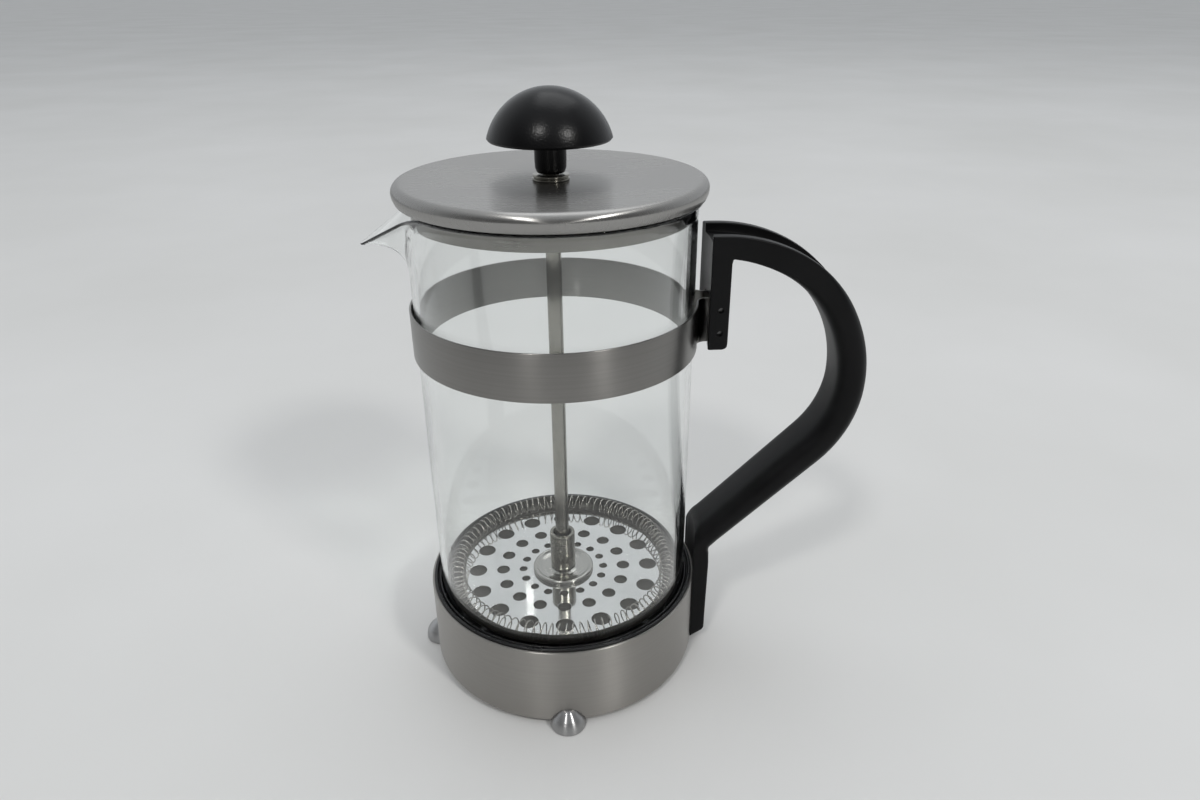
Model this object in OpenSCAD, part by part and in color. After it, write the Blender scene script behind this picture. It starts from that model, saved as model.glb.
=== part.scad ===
// French press: a glass beaker in a steel and plastic stand, with a domed lid and a plunger.
// Origin: on the beaker's vertical axis, at the level of the table. +Z up, +X to the handle, -X to the spout.

/* [Beaker] */
// Outer radius of the glass wall
glass_r = 49.2; // [48.8:0.1:49.3]
// Thickness of the glass wall
glass_t = 2.0; // [1.6:0.1:2.2]
// Height of the pouring rim above the table
rim_z = 186.8; // [184:0.2:186.8]
// Radius of the flared rim
rim_r = 50.6; // [50:0.1:50.9]
// Reach of the spout tip from the axis
spout_reach = 64.7; // [60:0.5:66]
// Height of the spout tip
spout_z = 172; // [170:0.5:175]

/* [Stand] */
// Outer radius of the steel base cup
cup_r = 53.3; // [53:0.1:53.5]
// Height of the base cup's rim above the table
cup_top = 35.1; // [30:0.5:40]
// Gap between the base cup and the table
foot_gap = 1.0; // [0.6:0.1:1.3]
// Radius of one foot
foot_r = 6.7; // [5:0.1:7]
// Height of one foot
foot_h = 7.9; // [6:0.1:8]
// Outer radius of the upper band
band_r = 50.6; // [50.4:0.1:50.8]
// Height of the upper band's lower edge above the table
band_z = 133.9; // [125:0.5:136]
// Width of the upper band's strip
band_h = 16.6; // [14:0.2:17]

/* [Handle] */
// Width of the handle across the hand
handle_w = 22; // [18:0.5:24]
// Thickness of the grip seen from the side
grip_t = 11.3; // [11:0.1:12.4]
// Diameter of the two pins that hold the band
pin_d = 2.0; // [1.6:0.1:2.4]

/* [Lid] */
// Radius of the lid
lid_r = 52.4; // [52:0.1:52.6]
// Height of the lid's flat top above the table
lid_top = 193.1; // [193:0.1:193.6]
// Lower edge of the skirt that centres the lid in the glass
skirt_z = 180.8; // [178:0.2:182]

/* [Plunger] */
// Diameter of the plunger rod
rod_d = 5.4; // [4.8:0.1:5.6]
// Radius of the knob
knob_r = 20.8; // [19:0.2:22]
// Height of the knob's dome
knob_h = 16.6; // [14:0.2:18]
// Height of the perforated plate above the table, plunger pressed down
plate_z = 33.0; // [32:0.2:38]
// Radius of the perforated plate
plate_r = 41.5; // [40:0.1:41.6]
// Holes in each of the three rings
ring_holes = 16; // [12:1:18]

/* [Hidden] */
$fn = 96;

// Shared clearances
running_gap = 0.05;
loose_gap = 0.35;
eps = 0.01;

// Sheet metal
sheet_t = 0.8;
cup_corner = 2.5;

// Base: the liner stands in the cup and the glass stands in the liner
cup_in = cup_r - sheet_t;
liner_z = foot_gap + sheet_t + 0.2;
liner_out = cup_in - 0.1;
liner_in = liner_out - 2.0;
liner_lip = glass_r + 0.45;
liner_floor_t = 2.2;
glass_z = liner_z + liner_floor_t + 0.3;
glass_in = glass_r - glass_t;
glass_floor_t = 2.4;
foot_sit = -1.1;

// Spout
lip_slope = 0.64;
lip_width = 1.077;
keel_z = 165.5;
spout_wall = 1.6;

// Band: a ring that is bent outward into two tabs inside the handle
band_t = 0.7;
band_bend = 3.5;
tab_y = 3.5;
tab_end = 58.6;
bend_y = tab_y + band_t + band_bend;
bend_x = sqrt(pow(band_r + band_bend, 2) - bend_y * bend_y);
bend_angle = asin(bend_y / (band_r + band_bend));

// Handle outline, in the plane of the handle: x is the distance from the axis
strip_in = 53.2;
strip_out = 60.6;
strip_bottom = 133.2;
strip_face_r = 54.4;
outer_arc = [57.4, 117.6, 56.6];
inner_arc_x = 54.5;
inner_arc_z = 118.2;
inner_arc = [inner_arc_x, inner_arc_z, outer_arc.x + outer_arc[2] - grip_t - inner_arc_x];
tab_face_r = cup_r + 0.05;
tab_in = tab_face_r - 1.4;
tab_out = 58.6;
tab_out_low = 58.2;
tab_bottom = 2.0;
tab_shoulder = 12;
// Lines of the leg between the grip and the tab: a point and a slope in degrees
leg_upper = [tab_in, tab_in + 1.2, 45];
leg_lower = [tab_out, 45.1, 43.5];
channel_r = 76.5;
channel_depth = 3.2;
channel_w = 15;
slot_w = 8.7;
slot_out = 58.9;
pin_x = 57.4;
pin_z = [139.4, 148.0];
pin_reach = 9.6;

// Screw that holds the handle's tab to the cup
screw_z = 18;
screw_d = 3;
head_d = 5.6;
head_t = 1.7;
nut_w = 6;
nut_out = 52.2;
nut_t = 1.6;

// Lid
lid_edge_r = 2.7;
lid_low = 187.3;
lid_low_r = 51.6;
lid_dish = 1.2;
lid_hole_r = 4.05;
skirt_r = glass_in - 0.4;
skirt_t = 0.6;
flange_z = rim_z + loose_gap;
collar_r = 6.2;
collar_h = 1.8;
collar_z = lid_top - lid_dish + 0.1;
collar_nut_t = 3.4;

// Plunger
rod_r = rod_d / 2;
rod_bottom = 26.5;
rod_top = 211;
knob_z = 204.6;
stem_r = 5.3;
stem_z = collar_z + collar_h + 0.5;
insert_r = 3.6;
ferrule_r = 5;
ferrule_top = 51.5;
ferrule_cup = 8;
boss_r = 12.3;
plate_t = 0.8;
plate_bottom = plate_z - plate_t / 2;
ring_r = [35.2, 24.8, 16.5];
ring_hole_r = [3.55, 2.6, 1.65];
mesh_t = 0.4;
mesh_rim_r = glass_in - 0.45;
mesh_rim_z = plate_z + 5.8;
coil_r = 3.1;
coil_wall = 0.5;
coil_ring_r = mesh_rim_r - mesh_t - 0.15 - coil_r;
cross_r = 36;
cross_t = 0.9;
cross_z = plate_bottom - 0.05 - mesh_t - 0.05 - cross_t;
nut_h = 3.6;

// Points of an arc about c with radius r, from angle a to angle b
function arc(c, r, a, b, n = 16) =
    [for (i = [0 : n]) let (t = a + (b - a) * i / n) c + r * [cos(t), sin(t)]];

// A round wall around the axis: outer radius, inner radius, height, from z
module tube(ro, ri, h, z = 0) {
    translate([0, 0, z]) difference() {
        cylinder(r = ro, h = h);
        translate([0, 0, -1]) cylinder(r = ri, h = h + 2);
    }
}

// A cylinder along Y, centred on the handle's plane, at x and z
module cross_bar(x, z, r, w) {
    translate([x, w / 2, z]) rotate([90, 0, 0]) cylinder(r = r, h = w);
}

// A cylinder along X, from x0 to x1, at height z
module radial_bar(x0, x1, z, r) {
    translate([x0, 0, z]) rotate([0, 90, 0]) cylinder(r = r, h = x1 - x0);
}

// ---- Stand ----

module base_cup() {
    r = cup_corner;
    color([0.66, 0.65, 0.63]) difference() {
        rotate_extrude() polygon(concat(
            [[0, foot_gap]],
            arc([cup_r - r, foot_gap + r], r, -90, 0, 10),
            [[cup_r, cup_top], [cup_in, cup_top]],
            arc([cup_r - r, foot_gap + r], r - sheet_t, 0, -90, 10),
            [[0, foot_gap + sheet_t]]
        ));
        radial_bar(cup_in - 2, cup_r + 1, screw_z, screw_d / 2 + 0.1);
    }
}

module base_liner() {
    lip_h = 2.2;
    color([0.05, 0.05, 0.055]) difference() {
        rotate_extrude() polygon([
            [0, liner_z],
            [liner_out - 2, liner_z],
            [liner_out, liner_z + 2],
            [liner_out, cup_top + 0.7],
            [liner_out - 0.4, cup_top + 1.0],
            [liner_out - 0.9, cup_top + 1.0],
            [liner_out - 1.2, cup_top + 0.2],
            [liner_lip + 1.3, cup_top + 0.2],
            [liner_lip + 0.9, cup_top + 0.8],
            [liner_lip + 0.3, cup_top + 0.8],
            [liner_lip, cup_top + 0.4],
            [liner_lip, cup_top - lip_h],
            [liner_in, cup_top - lip_h - 1],
            [liner_in, liner_z + liner_floor_t],
            [0, liner_z + liner_floor_t]
        ]);
        // pocket for the nut of the handle's tab
        translate([liner_in - 1, -nut_w / 2 - 0.5, screw_z - nut_w / 2 - 0.5])
            cube([4, nut_w + 1, nut_w + 1]);
    }
}

// A small spun steel cone with a flat sole, let into the cup's wall
module foot(angle) {
    flank = [
        [1, 0.13], [0.985, 0.27], [0.95, 0.4], [0.89, 0.52],
        [0.79, 0.65], [0.66, 0.77], [0.52, 0.89], [0.4, 0.97], [0.3, 1]
    ];
    color([0.68, 0.67, 0.65]) difference() {
        rotate([0, 0, angle]) translate([cup_r + foot_sit, 0, 0])
            rotate_extrude($fn = 48) polygon(concat(
                [[0, 0], [foot_r - 0.35, 0], [foot_r, 0.4]],
                [for (p = flank) [foot_r * p.x, foot_h * p.y]],
                [[0, foot_h]]
            ));
        cylinder(r = cup_r + 0.02, h = 40);
    }
}

module foot_right() { foot(0); }
module foot_back() { foot(90); }
module foot_left() { foot(180); }
module foot_front() { foot(270); }

// One bent end of the band, on the +Y side, in plan
module band_end() {
    difference() {
        translate([bend_x, bend_y]) circle(r = band_bend + band_t);
        translate([bend_x, bend_y]) circle(r = band_bend);
        translate([bend_x, bend_y - 20]) square([20, 40]);
        translate([bend_x, bend_y]) rotate(180 + bend_angle) translate([-20, -40]) square([40, 40]);
    }
    translate([bend_x - eps, tab_y]) square([tab_end - bend_x + eps, band_t]);
}

module upper_band() {
    wedge = 80;
    color([0.66, 0.65, 0.63]) translate([0, 0, band_z]) difference() {
        linear_extrude(band_h) union() {
            difference() {
                circle(r = band_r, $fn = 180);
                circle(r = band_r - band_t, $fn = 180);
                polygon([
                    [0, 0],
                    wedge * [cos(bend_angle), sin(bend_angle)],
                    wedge * [cos(bend_angle), -sin(bend_angle)]
                ]);
            }
            band_end();
            mirror([0, 1]) band_end();
        }
        for (z = pin_z) translate([0, 0, -band_z]) cross_bar(pin_x, z, pin_d / 2, 12);
    }
}

// Radius of the arc that leads from a vertical tangent at x, z into a leg line
function leg_arc(x, z, leg) = ((leg.x - x) * sin(leg[2]) - (leg.y - z) * cos(leg[2])) / (1 - sin(leg[2]));

// Side outline of the handle, x outward from the axis and y up
module handle_outline() {
    in_c = [inner_arc.x, inner_arc.y];
    in_x = inner_arc.x + inner_arc[2];
    in_r = leg_arc(in_x, inner_arc.y, leg_upper);
    out_c = [outer_arc.x, outer_arc.y];
    out_x = outer_arc.x + outer_arc[2];
    out_r = leg_arc(out_x, outer_arc.y, leg_lower);
    start = acos((strip_out - inner_arc.x) / inner_arc[2]);
    shoulder_z = leg_upper.y + tab_shoulder - tab_shoulder * sqrt(2);
    polygon(concat(
        [[strip_in, strip_bottom], [strip_out - 1.6, strip_bottom], [strip_out, strip_bottom + 1.6]],
        arc(in_c, inner_arc[2], start, 0, 20),
        arc([in_x - in_r, inner_arc.y], in_r, 0, leg_upper[2] - 90, 8),
        arc([tab_in + tab_shoulder, shoulder_z], tab_shoulder, 135, 180, 5),
        [[tab_in, tab_bottom], [tab_in + 4.6, tab_bottom + 2], [tab_out_low, tab_bottom + 4]],
        [[leg_lower.x, leg_lower.y]],
        arc([out_x - out_r, outer_arc.y], out_r, leg_lower[2] - 90, 0, 8),
        arc(out_c, outer_arc[2], 0, 90, 24),
        [[strip_in, outer_arc.y + outer_arc[2]]]
    ));
}

module handle() {
    top = outer_arc.y + outer_arc[2];
    color([0.06, 0.06, 0.065]) difference() {
        translate([0, handle_w / 2, 0]) rotate([90, 0, 0]) linear_extrude(handle_w) handle_outline();
        // hollow inner face that follows the beaker
        translate([0, 0, strip_bottom - 1]) cylinder(r = strip_face_r, h = top - strip_bottom + 2);
        // shallow channel along the top of the grip
        difference() {
            translate([strip_in - 1, -channel_w / 2, top - 22]) cube([48, channel_w, 30]);
            cross_bar(strip_in, top - channel_depth - channel_r, channel_r, channel_w + 2);
        }
        // slot for the ends of the band
        translate([strip_in - 1, -slot_w / 2, band_z - 1])
            cube([slot_out - strip_in + 1, slot_w, band_h + 2]);
        for (z = pin_z) cross_bar(pin_x, z, pin_d / 2 + 0.02, handle_w + 2);
        radial_bar(tab_in - 1, tab_out + 1, screw_z, screw_d / 2 + 0.05);
        radial_bar(tab_out - head_t - 0.3, tab_out + 1, screw_z, head_d / 2 + 0.2);
        // inner face of the tab and the leg, against the base cup
        translate([0, 0, tab_bottom - 1]) cylinder(r = tab_face_r, h = 60, $fn = 180);
        // notch over the foot that stands under the tab
        translate([cup_r + foot_sit, 0, 0]) cylinder(r = foot_r + 0.5, h = foot_h + 0.5);
    }
}

module handle_pins() {
    color([0.55, 0.55, 0.55]) for (z = pin_z) cross_bar(pin_x, z, pin_d / 2 - 0.02, 2 * pin_reach);
}

module tab_screw() {
    head_x = tab_out - head_t - 0.3;
    color([0.62, 0.62, 0.62]) difference() {
        union() {
            radial_bar(nut_out - nut_t - 0.3, head_x + eps, screw_z, screw_d / 2);
            radial_bar(head_x, head_x + head_t, screw_z, head_d / 2);
        }
        for (a = [0, 90]) translate([head_x + head_t - 1, 0, screw_z]) rotate([a, 0, 0])
            translate([0, -1.5, -0.4]) cube([2, 3, 0.8]);
    }
}

module tab_nut() {
    color([0.62, 0.62, 0.62]) difference() {
        translate([nut_out - nut_t, -nut_w / 2, screw_z - nut_w / 2]) cube([nut_t, nut_w, nut_w]);
        radial_bar(nut_out - nut_t - 1, nut_out + 1, screw_z, screw_d / 2 + 0.02);
    }
}

// ---- Beaker ----

// Half outline of the glass without its spout
module glass_profile() {
    corner = 7;
    flare_z = rim_z - 5;
    bead = 1.0;
    polygon(concat(
        [[0, glass_z]],
        arc([glass_r - corner, glass_z + corner], corner, -90, 0, 12),
        [[glass_r, flare_z]],
        arc([rim_r - bead, rim_z - bead], bead, 0, 180, 12),
        [[glass_in, flare_z]],
        arc([glass_r - corner, glass_z + corner], corner - glass_t, 0, -90, 12),
        [[0, glass_z + glass_floor_t]]
    ));
}

// Height of the pouring lips over x, from the tip back to the rim
function lip_z(x) = spout_z + (x + spout_reach) * lip_slope;

// A V-shaped beak between its two lips, its keel and its tip, drawn in by a wall thickness
module beak(wall) {
    ball = 0.8;
    root_x = wall > 0 ? -36 : -44.5;
    lip_x = -46;
    lip_y = lip_width * (spout_reach + lip_x) + 0.6 - 1.25 * wall;
    tip_x = -spout_reach + ball + 1.3 * wall;
    rise = wall > 0 ? 5 : 0;
    hull() {
        for (side = [-1, 1]) {
            translate([root_x, side * lip_y, lip_z(lip_x) + rise]) sphere(r = ball, $fn = 16);
            translate([lip_x, side * lip_y, lip_z(lip_x) + rise]) sphere(r = ball, $fn = 16);
        }
        translate([root_x, 0, keel_z + 1.1 * wall]) sphere(r = ball, $fn = 16);
        translate([-48.4, 0, keel_z + 1.1 * wall]) sphere(r = ball, $fn = 16);
        translate([tip_x, 0, spout_z - ball + 0.9 * wall]) sphere(r = ball, $fn = 16);
        translate([tip_x, 0, spout_z + 0.9 * wall + rise]) sphere(r = ball, $fn = 16);
    }
}

module glass_beaker() {
    color([0.85, 0.9, 0.9, 0.35]) difference() {
        union() {
            rotate_extrude($fn = 180) glass_profile();
            difference() {
                beak(0);
                translate([0, 0, glass_z]) cylinder(r = glass_in + 0.5, h = rim_z, $fn = 180);
            }
        }
        beak(spout_wall);
        // everything above the lips is open
        translate([-spout_reach, 0, spout_z]) rotate([0, -atan(lip_slope), 0])
            translate([-10, -40, 0]) cube([80, 80, 60]);
    }
}

// ---- Lid ----

module lid_cap() {
    e = lid_edge_r;
    under = lid_top - sheet_t;
    edge_c = [lid_r - e, lid_top - e];
    color([0.70, 0.69, 0.67]) difference() {
        rotate_extrude($fn = 180) polygon(concat(
            [[0, lid_top - lid_dish], [18, lid_top - lid_dish], [44, lid_top - 0.35]],
            arc(edge_c, e, 86, 0, 10),
            [[lid_low_r, lid_low], [lid_low_r - sheet_t, lid_low]],
            arc(edge_c, e - sheet_t, 0, 86, 10),
            [[44, under - 0.35], [18, under - lid_dish], [0, under - lid_dish]]
        ));
        translate([0, 0, lid_top - 8]) cylinder(r = lid_hole_r, h = 12);
    }
}

module lid_skirt() {
    flange_r = lid_low_r - sheet_t - 0.3;
    bend = 0.8;
    c = [skirt_r + bend, flange_z - bend];
    color([0.62, 0.61, 0.60]) rotate_extrude($fn = 180) polygon(concat(
        [[skirt_r - skirt_t, skirt_z], [skirt_r, skirt_z]],
        arc(c, bend, 180, 90, 5),
        [[flange_r, flange_z], [flange_r, flange_z + skirt_t]],
        arc(c, bend + skirt_t, 90, 180, 5)
    ));
}

module lid_collar() {
    color([0.72, 0.70, 0.66]) rotate_extrude($fn = 72) polygon([
        [rod_r + running_gap, collar_z - 5],
        [lid_hole_r - running_gap, collar_z - 5],
        [lid_hole_r - running_gap, collar_z],
        [collar_r, collar_z],
        [collar_r, collar_z + 0.7],
        [collar_r - 0.5, collar_z + 0.9],
        [collar_r - 0.5, collar_z + 1.2],
        [collar_r, collar_z + 1.4],
        [collar_r - 0.2, collar_z + collar_h - 0.2],
        [collar_r - 0.6, collar_z + collar_h],
        [rod_r + running_gap, collar_z + collar_h]
    ]);
}

module collar_nut() {
    top = lid_top - lid_dish - sheet_t - 0.1;
    across = 12;
    color([0.62, 0.62, 0.62]) translate([0, 0, top - collar_nut_t]) difference() {
        cylinder(d = across / cos(30), h = collar_nut_t, $fn = 6);
        translate([0, 0, -1]) cylinder(r = lid_hole_r - running_gap + 0.02, h = collar_nut_t + 2);
    }
}

// ---- Plunger ----

module knob() {
    // the dome is a cap cut from a sphere, with a hollow underside and a stem
    dome_r = (knob_r * knob_r + knob_h * knob_h) / (2 * knob_h);
    rim_angle = asin((dome_r - knob_h) / dome_r);
    color([0.06, 0.06, 0.065]) difference() {
        rotate_extrude() polygon(concat(
            [[0, stem_z], [stem_r - 1, stem_z], [stem_r - 0.3, stem_z + 0.4], [stem_r, stem_z + 1.2]],
            [[stem_r, knob_z + 1.5], [stem_r + 2, knob_z + 2], [knob_r - 2.5, knob_z + 1]],
            [[knob_r - 1, knob_z]],
            arc([0, knob_z + knob_h - dome_r], dome_r, rim_angle + 1, 90, 24)
        ));
        translate([0, 0, stem_z - 1]) cylinder(r = insert_r + 0.02, h = rod_top - stem_z + 2.1);
    }
}

module knob_insert() {
    color([0.75, 0.6, 0.3]) tube(insert_r, rod_r + 0.01, rod_top - stem_z - 2, stem_z + 2);
}

module plunger_rod() {
    color([0.72, 0.71, 0.69]) translate([0, 0, rod_bottom]) cylinder(r = rod_r, h = rod_top - rod_bottom);
}

module rod_ferrule() {
    bottom = plate_z + plate_t / 2 + 0.05;
    color([0.60, 0.59, 0.56]) difference() {
        translate([0, 0, bottom]) cylinder(r = ferrule_r, h = ferrule_top - bottom);
        translate([0, 0, bottom - 1]) cylinder(r = rod_r + 0.01, h = 30);
        translate([0, 0, ferrule_top - ferrule_cup]) cylinder(r = rod_r + 1.1, h = ferrule_cup + 1);
    }
}

module hub_boss() {
    z = plate_z + plate_t / 2 + 0.05;
    color([0.75, 0.74, 0.72]) rotate_extrude($fn = 72) polygon(concat(
        [[ferrule_r + 0.02, z]],
        [[boss_r, z]],
        arc([boss_r - 1, z + 0.9], 1, 0, 160, 10),
        [[boss_r - 2.6, z + 0.7], [ferrule_r + 0.02, z + 0.7]]
    ));
}

// One ring of holes through a thin plate
module hole_ring(r, hole_r, count, z) {
    for (i = [0 : count - 1]) rotate([0, 0, -90 + i * 360 / count])
        translate([r, 0, z - 3]) cylinder(r = hole_r, h = 6, $fn = 32);
}

module filter_plate() {
    color([0.80, 0.80, 0.79]) difference() {
        translate([0, 0, plate_bottom]) cylinder(r = plate_r, h = plate_t);
        translate([0, 0, plate_bottom - 1]) cylinder(r = rod_r + 0.01, h = 4);
        for (k = [0 : 2]) hole_ring(ring_r[k], ring_hole_r[k], ring_holes, plate_z);
    }
}

// The coil spring that presses the screen to the glass, as the thin round sleeve that its wire fills
module filter_spring() {
    open_half = 30;
    c = [coil_ring_r, plate_z + plate_t / 2 + 0.8 + coil_r];
    color([0.72, 0.70, 0.66]) rotate_extrude() polygon(concat(
        arc(c, coil_r, -180 + open_half, 180 - open_half, 20),
        arc(c, coil_r - coil_wall, 180 - open_half, -180 + open_half, 20)
    ));
}

// Fine mesh under the plate, turned up around the spring
module mesh_screen() {
    z = plate_bottom - 0.05 - mesh_t;
    bend = mesh_rim_r - plate_r - 0.4;
    c = [mesh_rim_r - bend, z + bend];
    color([0.45, 0.44, 0.42]) rotate_extrude() polygon(concat(
        [[rod_r + 0.01, z]],
        arc(c, bend, -90, 0, 8),
        [[mesh_rim_r, mesh_rim_z], [mesh_rim_r - mesh_t, mesh_rim_z]],
        arc(c, bend - mesh_t, 0, -90, 8),
        [[rod_r + 0.01, z + mesh_t]]
    ));
}

// Stiff plate with large round holes that backs the mesh from below
module cross_plate() {
    hole_r = 7.5;
    color([0.74, 0.73, 0.71]) difference() {
        translate([0, 0, cross_z]) cylinder(r = cross_r, h = cross_t);
        translate([0, 0, cross_z - 1]) cylinder(r = rod_r + 0.01, h = cross_t + 2);
        hole_ring(23, hole_r, 8, cross_z);
    }
}

module bottom_nut() {
    z = cross_z - 0.05 - nut_h;
    across = 9;
    color([0.66, 0.66, 0.65]) difference() {
        translate([0, 0, z]) cylinder(d = across / cos(30), h = nut_h, $fn = 6);
        translate([0, 0, z - 1]) cylinder(r = rod_r + 0.01, h = nut_h + 2);
    }
}

base_cup();
base_liner();
foot_right();
foot_back();
foot_left();
foot_front();
upper_band();
handle();
handle_pins();
tab_screw();
tab_nut();
glass_beaker();
lid_cap();
lid_skirt();
lid_collar();
collar_nut();
knob();
knob_insert();
plunger_rod();
rod_ferrule();
hub_boss();
filter_plate();
filter_spring();
mesh_screen();
cross_plate();
bottom_nut();
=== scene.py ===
import math
import random

import bpy
import bmesh
import numpy as np
from mathutils import Matrix, Vector


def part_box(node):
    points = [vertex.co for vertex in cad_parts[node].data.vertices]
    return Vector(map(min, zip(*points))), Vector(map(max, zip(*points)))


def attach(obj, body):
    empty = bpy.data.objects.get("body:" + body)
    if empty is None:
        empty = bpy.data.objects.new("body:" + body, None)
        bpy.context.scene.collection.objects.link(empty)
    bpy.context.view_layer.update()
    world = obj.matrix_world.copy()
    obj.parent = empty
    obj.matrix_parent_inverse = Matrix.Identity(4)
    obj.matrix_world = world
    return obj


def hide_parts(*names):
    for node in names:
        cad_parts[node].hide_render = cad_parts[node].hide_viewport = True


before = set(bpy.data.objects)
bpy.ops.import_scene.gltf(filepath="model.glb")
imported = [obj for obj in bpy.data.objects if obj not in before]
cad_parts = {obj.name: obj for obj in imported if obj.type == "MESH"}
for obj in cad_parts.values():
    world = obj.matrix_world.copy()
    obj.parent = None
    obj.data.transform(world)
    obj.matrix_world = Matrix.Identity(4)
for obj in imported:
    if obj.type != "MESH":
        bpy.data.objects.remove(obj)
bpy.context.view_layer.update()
MM = 0.001
TAU = 2 * math.pi


# ---------------------------------------------------------------- materials

def new_material(name):
    mat = bpy.data.materials.new(name)
    mat.use_nodes = True
    tree = mat.node_tree
    shader = tree.nodes["Principled BSDF"]
    return mat, tree, shader


def add(tree, kind, **values):
    node = tree.nodes.new(kind)
    for key, value in values.items():
        if key in node.inputs:
            node.inputs[key].default_value = value
        else:
            setattr(node, key, value)
    return node


def coords(tree, scale):
    tex = add(tree, "ShaderNodeTexCoord")
    mapping = add(tree, "ShaderNodeMapping")
    mapping.inputs["Scale"].default_value = scale
    tree.links.new(tex.outputs["Object"], mapping.inputs["Vector"])
    return mapping.outputs["Vector"]


def noise(tree, scale, detail=3.0, rough=0.55):
    node = add(tree, "ShaderNodeTexNoise", Scale=1.0, Detail=detail, Roughness=rough, Distortion=0.0)
    tree.links.new(coords(tree, scale), node.inputs["Vector"])
    return node.outputs["Fac"]


def remap(tree, value, low, high, from_low=0.3, from_high=0.7):
    node = add(tree, "ShaderNodeMapRange")
    node.inputs["From Min"].default_value = from_low
    node.inputs["From Max"].default_value = from_high
    node.inputs["To Min"].default_value = low
    node.inputs["To Max"].default_value = high
    tree.links.new(value, node.inputs["Value"])
    return node.outputs["Result"]


def blend_colours(tree, value, dark, light, low=0.3, high=0.7):
    ramp = add(tree, "ShaderNodeValToRGB")
    ramp.color_ramp.elements[0].position = low
    ramp.color_ramp.elements[1].position = high
    ramp.color_ramp.elements[0].color = (*dark, 1)
    ramp.color_ramp.elements[1].color = (*light, 1)
    tree.links.new(value, ramp.inputs["Fac"])
    return ramp.outputs["Color"]


def mixed(tree, a, b, share):
    node = add(tree, "ShaderNodeMix", data_type="FLOAT")
    node.inputs[0].default_value = share
    tree.links.new(a, node.inputs[2])
    tree.links.new(b, node.inputs[3])
    return node.outputs[0]


def bump(tree, shader, height, strength, distance):
    node = add(tree, "ShaderNodeBump", Strength=strength, Distance=distance)
    tree.links.new(height, node.inputs["Height"])
    tree.links.new(node.outputs["Normal"], shader.inputs["Normal"])


def steel(name, dark, light, roughness, spread, lines, bump_mm, anisotropic=0.0, tangent=None, smudge=0.05):
    """Stainless steel with grain lines. lines is the pair of scales of the fine and the coarse grain, per metre."""
    mat, tree, shader = new_material(name)
    shader.inputs["Metallic"].default_value = 1.0
    fine = noise(tree, lines[0], detail=4.0, rough=0.65)
    coarse = noise(tree, lines[1], detail=2.0)
    grain = mixed(tree, fine, coarse, 0.5)
    cloud = noise(tree, (38, 38, 38), detail=3.0)
    tone = mixed(tree, grain, cloud, 0.4)
    tree.links.new(blend_colours(tree, tone, dark, light), shader.inputs["Base Color"])
    rough_grain = remap(tree, grain, roughness - spread, roughness + spread)
    rough_cloud = remap(tree, cloud, -smudge, smudge)
    total = add(tree, "ShaderNodeMath", operation="ADD", use_clamp=True)
    tree.links.new(rough_grain, total.inputs[0])
    tree.links.new(rough_cloud, total.inputs[1])
    tree.links.new(total.outputs[0], shader.inputs["Roughness"])
    shader.inputs["Anisotropic"].default_value = anisotropic
    bump(tree, shader, grain, 0.5, bump_mm * MM)
    if tangent == "around":
        node = add(tree, "ShaderNodeTangent", direction_type="RADIAL", axis="Z")
        tree.links.new(node.outputs["Tangent"], shader.inputs["Tangent"])
        shader.inputs["Anisotropic Rotation"].default_value = 0.25
    elif tangent == "spun":
        tex = add(tree, "ShaderNodeTexCoord")
        node = add(tree, "ShaderNodeVectorMath", operation="CROSS_PRODUCT")
        node.inputs[0].default_value = (0, 0, 1)
        tree.links.new(tex.outputs["Object"], node.inputs[1])
        tree.links.new(node.outputs[0], shader.inputs["Tangent"])
        shader.inputs["Anisotropic Rotation"].default_value = 0.25
    elif tangent is not None:
        node = add(tree, "ShaderNodeCombineXYZ")
        for i in range(3):
            node.inputs[i].default_value = tangent[i]
        tree.links.new(node.outputs[0], shader.inputs["Tangent"])
    return mat


def plastic(name, dark, light, roughness, spread, grain_mm, bump_mm, specular=0.5):
    """Black moulded plastic: a fine moulded grain, with faint rubbed and dusty patches."""
    mat, tree, shader = new_material(name)
    per_metre = 1000.0 / grain_mm
    grain = noise(tree, (per_metre,) * 3, detail=2.0, rough=0.5)
    patch = noise(tree, (60, 60, 60), detail=4.0)
    tree.links.new(blend_colours(tree, patch, dark, light), shader.inputs["Base Color"])
    tree.links.new(remap(tree, patch, roughness - spread, roughness + spread), shader.inputs["Roughness"])
    shader.inputs["Specular IOR Level"].default_value = specular
    bump(tree, shader, grain, 0.6, bump_mm * MM)
    return mat


def clear_glass(name):
    """Clear glass, with a faint drawn waviness, that lets lamp light through to what stands in it."""
    mat, tree, shader = new_material(name)
    shader.inputs["Base Color"].default_value = (0.985, 0.995, 0.99, 1)
    shader.inputs["Roughness"].default_value = 0.0
    shader.inputs["IOR"].default_value = 1.45
    shader.inputs["Transmission Weight"].default_value = 1.0
    wave = noise(tree, (28, 28, 9), detail=1.0)
    bump(tree, shader, wave, 0.15, 0.3 * MM)
    path = add(tree, "ShaderNodeLightPath")
    clear = add(tree, "ShaderNodeBsdfTransparent", Color=(0.93, 0.95, 0.945, 1))
    mix = add(tree, "ShaderNodeMixShader")
    tree.links.new(path.outputs["Is Shadow Ray"], mix.inputs[0])
    tree.links.new(shader.outputs[0], mix.inputs[1])
    tree.links.new(clear.outputs[0], mix.inputs[2])
    tree.links.new(mix.outputs[0], tree.nodes["Material Output"].inputs["Surface"])
    return mat


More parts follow.
